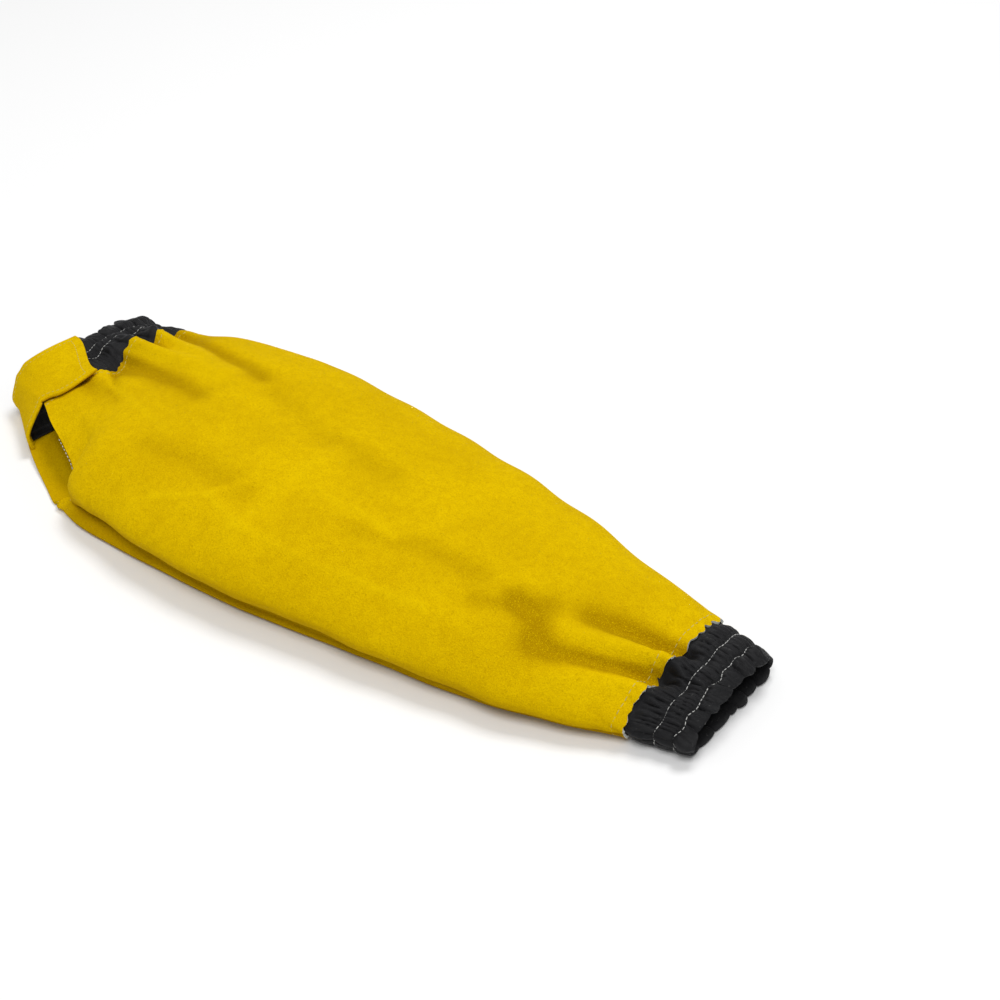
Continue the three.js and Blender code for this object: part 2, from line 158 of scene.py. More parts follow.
# A section's control points (across, up), from the lower layer's edge to the upper layer's
def controlPoints(x, row):
    lip = sleeve["lipHeight"]
    near, roll = -row["near"] * halfWidth, -row["roll"] * halfWidth
    far, floor = row["far"] * halfWidth - halfLeather, floorOf(row)
    height = row["top"] * bodyHeight - halfLeather - floor
    drawnIn = max(0.0, row["crease"]) * halfWidth
    undercut = max(0.0, near - roll)
    folded = min(1.0, drawnIn / (0.1 * halfWidth))
    apart = smooth((slitEndX - x) / sleeve["slitClosing"])
    seam = np.array([roll + drawnIn + 0.3 * undercut * (1 - folded), floor + row["edge"] * height])
    lipFold, lipTop = np.array([near, floor + 0.42 * lip]), np.array([near + 0.5 * lip, floor + 0.85 * lip])
    reach = [np.array([mix(roll, far, across), floor + up * height]) for across, up in outline]
    shoulder, flapEdge = reach[-1], np.array([roll, seam[1]])
    closedStart = [seam, mix(mix(seam, lipFold, 0.5), lipTop, folded), lipFold]
    openStart = [np.array([near + share * lip, floor]) for share in (0.0, 0.6, 1.3)]
    closedEnd = [
        np.array([roll, mix(seam[1], shoulder[1], 0.45)]),
        np.array([roll + 0.22 * drawnIn, mix(seam[1], shoulder[1], 0.17)]),
        seam,
    ]
    openEnd = [mix(flapEdge, shoulder, 0.66), mix(flapEdge, shoulder, 0.33), flapEdge]
    start = np.array([mix(a, b, apart) for a, b in zip(closedStart, openStart)])
    start[:, 0] -= 4 * apart * (1 - apart) * (start[:, 0].min() - near)  # the fold still reaches as far out
    return np.array([
        *start,
        [near + mix(0.8, 2.6, apart) * lip, floor],
        [near + 4 * lip, floor],
        *reach,
        *[mix(a, b, apart) for a, b in zip(closedEnd, openEnd)],
    ])


# Points on a centripetal Catmull-Rom curve at parameters from 0 to 1
def onCurve(points, t):
    last = len(points) - 1
    place = clampShare(np.asarray(t, float)) * last
    i = np.minimum(place.astype(int), last - 1)
    w = (place - i)[:, None]
    ends = np.vstack([2 * points[0] - points[1], points, 2 * points[-1] - points[-2]])
    p0, p1, p2, p3 = (ends[i + k] for k in range(4))
    d0, d1, d2 = (np.sqrt(np.linalg.norm(b - a, axis=1))[:, None] for a, b in ((p0, p1), (p1, p2), (p2, p3)))
    d1 = np.where(d1 < 1e-4, 1.0, d1)
    d0, d2 = np.where(d0 < 1e-4, d1, d0), np.where(d2 < 1e-4, d1, d2)
    m1 = ((p1 - p0) / d0 - (p2 - p0) / (d0 + d1) + (p2 - p1) / d1) * d1
    m2 = ((p2 - p1) / d1 - (p3 - p1) / (d1 + d2) + (p3 - p2) / d2) * d1
    return p1 + w * (m1 + w * (-3 * p1 + 3 * p2 - 2 * m1 - m2 + w * (2 * p1 - 2 * p2 + m1 + m2)))


# Height of a list of folds at places seen from above
def foldHeight(x, y, rows):
    total = np.zeros(np.broadcast(x, y).shape)
    for x1, y1, x2, y2, x3, y3, wide1, wide2, height1, height2 in rows:
        corners = [(a * sleeve["leatherLength"] + slitEdgeX, b * halfWidth)
                   for a, b in ((x1, y1), (x2, y2), (x3, y3))]
        best, share = np.full(total.shape, np.inf), np.zeros(total.shape)
        for i in range(2):
            (ax, ay), (bx, by) = corners[i], corners[i + 1]
            t = clampShare(((x - ax) * (bx - ax) + (y - ay) * (by - ay)) / ((bx - ax) ** 2 + (by - ay) ** 2))
            distance = np.hypot(x - ax - t * (bx - ax), y - ay - t * (by - ay))
            share = np.where(distance < best, (i + t) / 2, share)
            best = np.minimum(best, distance)
        wide = mix(wide1, wide2, share) * halfWidth
        total += mix(height1, height2, share) * bodyHeight * np.exp(-((best / wide) ** 2))
    return total


def edgePull(x, y):
    near = np.exp(-(((x - slitEdgeX) / sleeve["pullReach"]) ** 2))
    places = (pull * np.exp(-(((y / halfWidth - across) / wide) ** 2)) for across, wide, pull in edgePulls)
    return near * sum(places)


# The sleeve's middle surface: a row of points for each station along it, a column for each parameter.
# Without folds it has no pulled edge either.
def sleeveGrid(stations, columns, folds):
    rows = [sectionAt(x) for x in stations]
    across = np.array([onCurve(controlPoints(x, row), columns) for x, row in zip(stations, rows)])
    x, y, z = np.repeat(np.asarray(stations)[:, None], len(columns), axis=1), across[..., 0], across[..., 1]
    top, floor, slant = (np.array(v)[:, None] for v in (
        [row["top"] * bodyHeight for row in rows],
        [floorOf(row) for row in rows],
        [row["slant"] for row in rows],
    ))
    begin, whole = sleeve["foldsBegin"], sleeve["foldsWhole"]
    upper = smooth((z / top - begin) / (whole - begin))
    if folds:
        z = np.maximum(floor, z + upper * foldHeight(x, y, folds))
    pull = upper * edgePull(x, y) if folds else 0
    return np.stack([x + pull - slant * (y - sleeve["slantCentre"] * halfWidth), y, z], axis=-1)


# Outward normals of a grid of points
def gridNormals(points):
    n = np.cross(np.gradient(points, axis=1), np.gradient(points, axis=0))
    return n / np.maximum(np.linalg.norm(n, axis=-1, keepdims=True), 1e-9)


# Points between the rows of a grid, at row numbers that may differ from column to column
def betweenRows(grid, place):
    low = np.clip(np.floor(place).astype(int), 0, len(grid) - 2)
    share = (place - low)[..., None]
    column = np.arange(grid.shape[1])[None, :]
    return grid[low, column] * (1 - share) + grid[low + 1, column] * share


# Points anywhere on a grid, from lists of row and column numbers
def onGrid(grid, row, column):
    r = np.clip(np.floor(row).astype(int), 0, grid.shape[0] - 2)
    c = np.clip(np.floor(column).astype(int), 0, grid.shape[1] - 2)
    a, b = (np.asarray(row) - r)[:, None], (np.asarray(column) - c)[:, None]
    near, far = mix(grid[r, c], grid[r, c + 1], b), mix(grid[r + 1, c], grid[r + 1, c + 1], b)
    return mix(near, far, a)


def lengthsAlong(points):
    steps = np.linalg.norm(np.diff(points, axis=0), axis=1)
    return np.concatenate([[0.0], np.cumsum(steps)])


# The parameters of evenly spaced columns round the section at a place, closer together on the near side
def columnsAt(x, count, drawn):
    fine = np.linspace(0, 1, 1201)
    length = lengthsAlong(onCurve(controlPoints(x, sectionAt(x)), fine))
    share = np.linspace(0, 1, count + 1)
    share = share - drawn * np.sin(2 * np.pi * share) / (2 * np.pi)
    return np.interp(share * length[-1], length, fine)


# A sum of long soft waves, for the unevenness that a soft sheet has
def unevenness(x, y, count, shortest, longest):
    total = np.zeros(np.broadcast(x, y).shape)
    for _ in range(count):
        angle, phase = chance.uniform(0, math.pi), chance.uniform(0, 2 * math.pi)
        wave = 2 * math.pi / chance.uniform(shortest, longest)
        total += np.sin(wave * (x * math.cos(angle) + y * math.sin(angle)) + phase)
    return total / math.sqrt(count)


# Meshes

def deselectAll():
    if bpy.context.object and bpy.context.object.mode != "OBJECT":
        bpy.ops.object.mode_set(mode="OBJECT")
    bpy.ops.object.select_all(action="DESELECT")


def select(piece):
    deselectAll()
    piece.select_set(True)
    bpy.context.view_layer.objects.active = piece


def applyModifier(piece, kind, **settings):
    select(piece)
    modifier = piece.modifiers.new(kind.title(), kind)
    for key, value in settings.items():
        setattr(modifier, key, value)
    bpy.ops.object.modifier_apply(modifier=modifier.name)


# A sheet: a flat grid whose points are moved to their places on a surface. Its UV map keeps the flat
# sheet's own coordinates from 0 to 1.
def sheetFrom(name, points):
    rows, columns = points.shape[:2]
    deselectAll()
    bpy.ops.mesh.primitive_grid_add(x_subdivisions=columns - 1, y_subdivisions=rows - 1, size=1)
    piece = bpy.context.object
    piece.name = piece.data.name = name
    flat = np.empty(rows * columns * 3)
    piece.data.vertices.foreach_get("co", flat)
    flat = flat.reshape(-1, 3)
    column = np.rint((flat[:, 0] + 0.5) * (columns - 1)).astype(int)
    row = np.rint((flat[:, 1] + 0.5) * (rows - 1)).astype(int)
    placed = points[row, column] * millimetre
    piece.data.vertices.foreach_set("co", placed.ravel())
    piece.data.update()
    return piece


# Welds the points that meet, so that a sheet's rim or a tube's seam closes
def weld(piece, distance=0.00002):
    select(piece)
    bpy.ops.object.mode_set(mode="EDIT")
    bpy.ops.mesh.select_all(action="SELECT")
    bpy.ops.mesh.remove_doubles(threshold=distance)
    bpy.ops.mesh.dissolve_degenerate(threshold=distance / 4)
    bpy.ops.mesh.select_all(action="SELECT")
    bpy.ops.mesh.normals_make_consistent(inside=False)
    bpy.ops.object.mode_set(mode="OBJECT")


def flipFaces(piece):
    select(piece)
    bpy.ops.object.mode_set(mode="EDIT")
    bpy.ops.mesh.select_all(action="SELECT")
    bpy.ops.mesh.flip_normals()
    bpy.ops.object.mode_set(mode="OBJECT")


# Turns an open sheet's faces round where the one nearest a place doesn't look the given way
def turnOutward(piece, place, outward):
    nearest = min(piece.data.polygons, key=lambda f: (f.center - Vector(place) * millimetre).length)
    if nearest.normal.dot(Vector(outward)) < 0:
        flipFaces(piece)


def smoothShade(piece, angle=40):
    select(piece)
    bpy.ops.object.shade_smooth_by_angle(angle=math.radians(angle))


# A closed sheet with a rounded rim: the outer side of a grid, and the inner side back again. The two
# sides meet along the edges. Where its volume comes out negative, its faces look inward.
def closedSheet(name, outer, inner):
    piece = sheetFrom(name, np.concatenate([outer, inner[-2::-1]]))
    weld(piece)
    if sum(face.center.dot(face.normal) * face.area for face in piece.data.polygons) < 0:
        flipFaces(piece)
    return piece


# Materials

class Signal:
    def __init__(self, shader, socket):
        self.shader, self.socket = shader, socket

    def maths(self, operation, *values):
        return self.shader.add("ShaderNodeMath", {"operation": operation}, dict(enumerate(values)))

    def __add__(self, other):
        return self.maths("ADD", self, other)

    def __radd__(self, other):
        return self.maths("ADD", other, self)

    def __sub__(self, other):
        return self.maths("SUBTRACT", self, other)

    def __rsub__(self, other):
        return self.maths("SUBTRACT", other, self)

    def __mul__(self, other):
        return self.maths("MULTIPLY", self, other)

    def __rmul__(self, other):
        return self.maths("MULTIPLY", other, self)

    def clamped(self):
        return self.shader.add("ShaderNodeClamp", {}, {"Value": self})

    # A smooth rise from 0 to 1, or a fall where low is the higher one
    def steps(self, low, high):
        values = {"Value": self, "From Min": low, "From Max": high}
        return self.shader.add("ShaderNodeMapRange", {"interpolation_type": "SMOOTHSTEP"}, values)


class Shader:
    def __init__(self, name, **surface):
        self.material = bpy.data.materials.new(name)
        self.material.use_nodes = True
        self.nodes, self.links = self.material.node_tree.nodes, self.material.node_tree.links
        self.surface = self.nodes["Principled BSDF"]
        self.finish(**surface)

    # Adds a node, sets its settings and then its sockets, and gives back its first output or the named one
    def add(self, kind, settings, values, output=0):
        node = self.nodes.new(kind)
        for key, value in settings.items():
            setattr(node, key, value)
        for key, value in values.items():
            self.join(node.inputs[key], value)
        return Signal(self, node.outputs[output])

    def join(self, socket, value):
        if isinstance(value, Signal):
            self.links.new(value.socket, socket)
        elif isinstance(value, tuple) and len(value) == 3 and socket.type == "RGBA":
            socket.default_value = (*value, 1)
        else:
            socket.default_value = value

    def finish(self, **values):
        for key, value in values.items():
            self.join(self.surface.inputs[key], value)

    def place(self, output="Object"):
        return self.add("ShaderNodeTexCoord", {}, {}, output)

    def stretched(self, vector, scale):
        return self.add("ShaderNodeMapping", {}, {"Vector": vector, "Scale": scale})

    def noise(self, vector, scale, detail, roughness, distortion=0.0):
        values = {"Vector": vector, "Scale": scale, "Detail": detail, "Roughness": roughness,
                  "Distortion": distortion}
        return self.add("ShaderNodeTexNoise", {}, values, "Fac")

    def painted(self, name):
        return self.add("ShaderNodeAttribute", {"attribute_name": name}, {}, "Fac")

    # The colour mix node has its factor and its two colours at these sockets
    def colours(self, share, first, second):
        return self.add("ShaderNodeMix", {"data_type": "RGBA"}, {0: share, 6: first, 7: second}, 2)

    def bump(self, height, distance, strength):
        return self.add("ShaderNodeBump", {}, {"Height": height, "Distance": distance, "Strength": strength})


# Brushed suede: a fine speckled nap with darker flecks over a soft mottling, and a short pile
suedeLook = {
    "base": (0.755, 0.495, 0.0006), "light": (0.89, 0.64, 0.0016), "deep": (0.55, 0.325, 0.0004),
    "fleck": (0.34, 0.19, 0.0004), "shadow": (0.29, 0.145, 0.0002), "pile": (1.0, 0.78, 0.02),
    "patchScale": 17, "mottleScale": 170, "napScale": 900, "fleckScale": 620, "grainScale": 1900,
}


def suedeMaterial(name, look):
    s = Shader(name)
    place = s.place()
    brushed = s.noise(s.stretched(place, (1.0, 1.5, 1.2)), look["patchScale"], 2, 0.5, 0.2)
    mottle = s.noise(place, look["mottleScale"], 4, 0.7)
    nap = s.noise(place, look["napScale"], 2, 0.75)
    fleck = s.noise(place, look["fleckScale"], 3, 0.7)
    grain = s.noise(place, look["grainScale"], 1, 0.5)
    # crest is painted light of the folds: above zero a painted highlight on ridges, below zero painted shade
    # in valleys. shade is painted shade under the overhang and by the lip.
    crest, shade = s.painted("crest"), s.painted("shade")
    valley = (crest * -1).clamped()
    colour = s.colours(brushed.steps(0.32, 0.70) * 0.40, look["base"], look["deep"])
    colour = s.colours(mottle.steps(0.62, 0.34) * 0.40, colour, look["deep"])
    colour = s.colours(nap.steps(0.54, 0.40) * 0.38, colour, look["deep"])
    colour = s.colours(grain.steps(0.52, 0.60) * 0.38, colour, look["light"])
    # Painted highlight on fold ridges and along the crease lines
    colour = s.colours((crest * 0.6).clamped() * 0.55, colour, look["light"])
    # Painted shade in fold valleys
    colour = s.colours((crest * -0.8).clamped() * 0.8, colour, look["shadow"])
    # Dark flecks all over, more of them in the painted valley shade, and lighter grain speckles only there
    colour = s.colours(fleck.steps(0.585, 0.65) * (0.28 + 0.35 * valley), colour, look["fleck"])
    colour = s.colours(grain.steps(0.60, 0.66) * (valley * 0.5), colour, look["light"])
    # Painted shade under the overhang, on the lip and in the crease above it
    colour = s.colours(shade.clamped(), colour, look["shadow"])
    height = nap * 0.8 + fleck * 0.5 + mottle * 0.7 + grain * 0.4
    normal = s.bump(height, 0.0010, 0.7)
    s.finish(**{"Base Color": colour, "Roughness": 0.95 - 0.05 * brushed, "Normal": normal,
                "Sheen Weight": 0.05, "Sheen Roughness": 0.5, "Sheen Tint": look["pile"],
                "Specular IOR Level": 0.03, "Specular Tint": look["pile"]})
    return s.material


# The pale fibres of the leather where it's cut
def cutEdgeMaterial(name):
    s = Shader(name)
    fibre = s.noise(s.place(), 1400, 3, 0.7)
    colour = s.colours(fibre.steps(0.3, 0.7), (0.62, 0.65, 0.60), (0.92, 0.95, 0.90))
    s.finish(**{"Base Color": colour, "Roughness": 0.95, "Normal": s.bump(fibre, 0.0004, 0.6),
                "Specular IOR Level": 0.15})
    return s.material


# Black cotton in a fine twill, with a faint bloom and a little lint
def cottonMaterial(name):
    s = Shader(name)
    place, flat = s.place(), s.place("UV")
    bands = {"Vector": s.stretched(flat, (300, 110, 1)), "Scale": 1.0, "Distortion": 0.6, "Detail": 1.0}
    warp = s.add("ShaderNodeTexWave", {"wave_type": "BANDS", "bands_direction": "DIAGONAL"}, bands, "Fac")
    yarn = s.noise(place, 1700, 2, 0.6)
    bloom = s.noise(place, 60, 3, 0.6)
    lint = s.noise(s.stretched(place, (1.0, 0.35, 1.0)), 900, 1, 0.4)
    colour = s.colours(warp * 0.7 + yarn * 0.3, (0.0040, 0.0040, 0.0046), (0.011, 0.011, 0.0125))
    colour = s.colours(bloom.steps(0.45, 0.75) * 0.25, colour, (0.018, 0.018, 0.020))
    colour = s.colours(lint.steps(0.735, 0.78) * 0.35, colour, (0.12, 0.12, 0.115))
    normal = s.bump(warp * 0.6 + yarn * 0.6, 0.0004, 0.5)
    s.finish(**{"Base Color": colour, "Roughness": 0.52, "Normal": normal, "Sheen Weight": 0.02,
                "Sheen Roughness": 0.4, "Sheen Tint": (0.75, 0.76, 0.8), "Specular IOR Level": 0.2})
    return s.material


def threadMaterial(name, dark, pale):
    s = Shader(name)
    twist = s.noise(s.place(), 2600, 1, 0.5)
    colour = s.colours(twist.steps(0.35, 0.65), dark, pale)
    s.finish(**{"Base Color": colour, "Roughness": 0.7, "Normal": s.bump(twist, 0.0002, 0.5),
                "Sheen Weight": 0.2, "Specular IOR Level": 0.25})
    return s.material


def floorMaterial(name):
    s = Shader(name)
    grain = s.noise(s.place(), 40, 2, 0.5)
    s.finish(**{"Base Color": (0.93, 0.93, 0.93), "Roughness": 0.85 + 0.05 * grain,
                "Specular IOR Level": 0.05})
    return s.material


suede = suedeMaterial("yellow suede", suedeLook)
cutEdge = cutEdgeMaterial("cut edge")
cotton = cottonMaterial("black cotton")
greyThread = threadMaterial("grey thread", (0.42, 0.42, 0.40), (0.80, 0.80, 0.77))
yellowThread = threadMaterial("yellow thread", (0.42, 0.36, 0.08), (0.66, 0.58, 0.18))
print("materials made")


# Gives every point of a piece's mesh a value that a material reads
def paint(piece, name, values):
    layer = piece.data.attributes.new(name, "FLOAT", "POINT")
    layer.data.foreach_set("value", np.asarray(values, np.float32).ravel())


# The leather tube
leather = {
    "stations": 186, "slitStations": 40, "columns": 250, "drawn": 0.35, "edgeWave": 1.05, "rimFacing": 0.55,
    "underShade": 0.30, "lipShade": 0.42, "creaseShade": 0.80, "foldShade": 2.35, "creaseLineHeight": 0.45,
    "dents": 0.6, "dentShortest": 26, "dentLongest": 85, "puckers": 0.75, "puckerReach": 13,
    "stitchIn": 5.6, "slitStitchedFrom": 19,
}
# Finer folds than the part's own
fineFolds = [
    [1.010, 0.040, 0.950, -0.130, 0.870, -0.300, 0.038, 0.080, -0.070, -0.025],
    [1.010, 0.240, 0.955, 0.120, 0.900, 0.030, 0.038, 0.080, -0.075, -0.025],
    [1.010, 0.140, 0.965, 0.000, 0.890, -0.160, 0.040, 0.080, 0.040, 0.035],
    [-0.010, 0.110, 0.080, 0.045, 0.220, -0.020, 0.040, 0.085, -0.075, -0.035],
    [-0.010, 0.235, 0.100, 0.215, 0.205, 0.205, 0.035, 0.070, 0.050, 0.035],
    [-0.010, 0.330, 0.050, 0.310, 0.110, 0.290, 0.032, 0.055, -0.055, -0.015],
    [-0.010, 0.430, 0.110, 0.370, 0.200, 0.280, 0.035, 0.070, 0.055, 0.025],
    [0.010, 0.545, 0.148, 0.460, 0.251, 0.370, 0.045, 0.090, -0.080, -0.045],
    [0.020, -0.060, 0.070, -0.170, 0.122, -0.294, 0.035, 0.060, -0.055, -0.015],
    [0.780, -0.300, 0.820, -0.200, 0.850, -0.060, 0.060, 0.080, -0.020, -0.030],
    [0.300, 0.300, 0.420, 0.150, 0.560, 0.120, 0.080, 0.100, -0.012, -0.016],
    [0.250, -0.550, 0.350, -0.480, 0.450, -0.520, 0.080, 0.100, -0.014, -0.014],
    [0.600, -0.350, 0.680, -0.200, 0.760, -0.150, 0.070, 0.090, -0.014, -0.018],
]
# Faint raised lines where the leather has been creased, with a painted highlight along them: x1 y1 x2 y2 x3
# y3 wide1 wide2 height1 height2
creaseLines = [
    [0.020, -0.060, 0.080, -0.200, 0.190, -0.330, 0.022, 0.030, 1.0, 0.4],
    [0.190, -0.330, 0.250, -0.390, 0.300, -0.400, 0.030, 0.030, 0.4, 0.0],
    [0.330, -0.800, 0.400, -0.650, 0.430, -0.400, 0.022, 0.030, 0.8, 0.2],
    [0.400, -0.640, 0.470, -0.700, 0.560, -0.660, 0.022, 0.028, 0.7, 0.3],
    [0.560, -0.660, 0.640, -0.600, 0.740, -0.500, 0.028, 0.030, 0.3, 0.8],
    [0.430, -0.200, 0.520, -0.260, 0.640, -0.240, 0.030, 0.030, 0.2, 0.6],
]


def leatherSurface():
    # More stations by the slit, and the part's surface with and without folds
    slitPart = np.linspace(slitEdgeX, slitEndX, leather["slitStations"], endpoint=False)
    rest = np.linspace(slitEndX, plainEdgeX, leather["stations"] - leather["slitStations"] + 1)
    stations = np.concatenate([slitPart, rest])
    columns = columnsAt(0, leather["columns"], leather["drawn"])
    points = sleeveGrid(stations, columns, mainFolds + fineFolds)
    unfolded = sleeveGrid(stations, columns, [])
    normals = gridNormals(points)
    x, y = points[..., 0], points[..., 1]
    dent = leather["dents"] * unevenness(x, y, 9, leather["dentShortest"], leather["dentLongest"])
    lengths = np.array([lengthsAlong(row) for row in points])
    fromEdge = np.minimum(stations - slitEdgeX, plainEdgeX - stations)[:, None]
    pucker = leather["puckers"] * np.exp(-(fromEdge / leather["puckerReach"]) ** 2)
    pucker = pucker * unevenness(lengths, 0.2 * x, 6, 7, 16)
    raised = (dent + pucker) * smooth((points[..., 2] - floorRows(stations)) / 6)
    # No unevenness at the two edges that meet in the seam
    closing = smooth(np.minimum(np.arange(len(columns)), len(columns) - 1 - np.arange(len(columns))) / 8.0)
    # crest is painted light: where folds rise it becomes a painted highlight, where they sink painted shade,
    # and the crease lines add a painted highlight
    creased = foldHeight(x, y, creaseLines) / bodyHeight * smooth((points[..., 2] - 12) / 8)
    crest = np.clip((points - unfolded)[..., 2] / leather["foldShade"], -1, 0.4) + creased
    raised = raised + leather["creaseLineHeight"] * creased
    points = points + normals * (raised * closing[None, :])[..., None]
    points[..., 2] = np.maximum(points[..., 2], floorRows(stations))
    for end in (0, -1):
        wave = unevenness(lengths[end], 0 * lengths[end], 5, 4.2, 9)
        points[end, :, 0] += leather["edgeWave"] * wave + chance.uniform(-0.2, 0.2, len(columns))
    closed = stations >= slitEndX - 1e-6
    points[closed, -1] = points[closed, 0]
    # Painted shade: darker under the overhang, on the lip and in the crease above it
    facing = gridNormals(points)
    under = smooth((0.30 - facing[..., 2]) / 0.6) * smooth((0.5 - y / halfWidth) / 0.6)
    onLip = leather["lipShade"] * smooth((0.16 - columns) / 0.05)
    inCrease = smooth((0.035 - columns) / 0.03) + smooth((columns - 0.955) / 0.04)
    shade = leather["underShade"] * under
    shade = shade + np.maximum(onLip, leather["creaseShade"] * inCrease) * smooth((x - slitEndX + 8) / 22)
    return stations, points, facing, crest, shade


def floorRows(stations):
    return np.array([floorOf(sectionAt(x)) for x in stations])[:, None]


stations, leatherPoints, leatherNormals, crest, shade = leatherSurface()
leatherBody = sheetFrom("leather", leatherPoints)
paint(leatherBody, "crest", crest)
paint(leatherBody, "shade", shade)
weld(leatherBody)
turnOutward(leatherBody, (0, 20, bodyHeight), (0, 0, 1))
leatherBody.data.materials.append(suede)
leatherBody.data.materials.append(cutEdge)
applyModifier(leatherBody, "SOLIDIFY", thickness=sleeve["leatherThickness"] * millimetre, offset=0.0,
              material_offset_rim=1, use_rim=True)
for face in leatherBody.data.polygons:  # the slit's own edges are of suede all round
    if face.material_index == 1 and abs(face.normal.x) < leather["rimFacing"]:
        face.material_index = 0
smoothShade(leatherBody, 60)
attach(leatherBody, "root")
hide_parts("leather_body")
print("leather made", len(leatherBody.data.polygons))

# The cuffs. Zones run 0 at the leather's edge, 1 and 2 at the two stitch rows and 3 at the hem.
cuffs = {
    "plain": {
        "name": "plain_cuff", "edge": plainEdgeX, "hem": plainHemX, "columns": 520,
        "rowNear": (0.43, 0.72), "rowFar": (0.36, 0.66), "rowWave": (0.5, 1.1),
        "ribPitch": (1.9, 5.2), "skirtRibs": (2, 5), "headingRibs": (2, 5),
        "skirtPuff": 1.4, "skirtRib": 1.9, "channelRib": 1.7, "headingPuff": 3.2, "headingFull": 4.0,
        "hemReach": 3.4, "lean": 2.6, "wrinkle": 1.6, "foldsKept": 0.5, "lowerTuck": 0,
    },
    "slit": {
        "name": "slit_cuff", "edge": slitEdgeX, "hem": slitHemX, "columns": 560,
        "rowNear": (0.37, 0.51), "rowFar": (0.44, 0.63), "rowWave": (0.5, 0.8),
        "ribPitch": (2.4, 5.4), "skirtRibs": (3, 6), "headingRibs": (3, 5),
        "skirtPuff": 2.6, "skirtRib": 1.6, "channelRib": 1.9, "headingPuff": 6.0, "headingFull": 3.2,
        "hemReach": 9.0, "lean": 2.4, "wrinkle": 1.4, "foldsKept": 0.6, "lowerTuck": 6,
    },
}
# Rows of points in each zone, and in millimetres what both cuffs share
cuffRows = {"tucked": 4, "skirt": 18, "channel": 12, "heading": 20}
cuffShape = {
    "spacing": 1.0, "rounding": 2.6, "sideRounding": 1.2, "foldFade": 14, "comingOut": 5, "clearance": 0.15,
    "pinch": 0.9, "pinchWide": 1.4, "skirtDepth": 9, "channelDepth": 10, "flattened": 0.25, "fullHeight": 7,
}


# Places where gathers meet, a random distance apart, over a whole length
def gatherEdges(total, pitch):
    edges = [0.0]
    while edges[-1] < total:
        edges.append(edges[-1] + chance.uniform(*pitch))
    return np.array(edges) * total / edges[-1]


# Every few of those places, for the wider puffs
def widerEdges(edges, few):
    picked = [0]
    while picked[-1] < len(edges) - 1:
        picked.append(min(len(edges) - 1, picked[-1] + int(chance.integers(few[0], few[1] + 1))))
    return edges[picked]


# Round crests between the places, with sharp valleys at them. Each crest has its own size.
def puff(along, edges, spread, roundness=0.65):
    i = np.clip(np.searchsorted(edges, along, side="right") - 1, 0, len(edges) - 2)
    share = (along - edges[i]) / (edges[i + 1] - edges[i])
    size = chance.uniform(1 - spread, 1, len(edges))
    return size[i] * np.maximum(0.0, 1 - (2 * share - 1) ** 2) ** roundness


# Short wrinkles that run mostly lengthwise, each fading out, with rounded crests and sharp valleys
def wrinkles(along, reach, count=7):
    total = np.zeros(np.broadcast(along, reach).shape)
    for _ in range(count):
        wave, turn = chance.uniform(4.5, 9.5), chance.uniform(-0.45, 0.45)
        bend, phase = chance.uniform(9, 17), chance.uniform(0, 6.3, 3)
        across = along + turn * reach + 0.9 * np.sin(reach / bend * 6.3 + phase[0])
        fade = 0.5 + 0.5 * np.sin(along / chance.uniform(4, 9) + reach / chance.uniform(3, 6) + phase[1])
        total += fade ** 2 * np.abs(np.sin(np.pi * across / wave + phase[2])) ** 0.8
    return total / count * 2 - 0.5


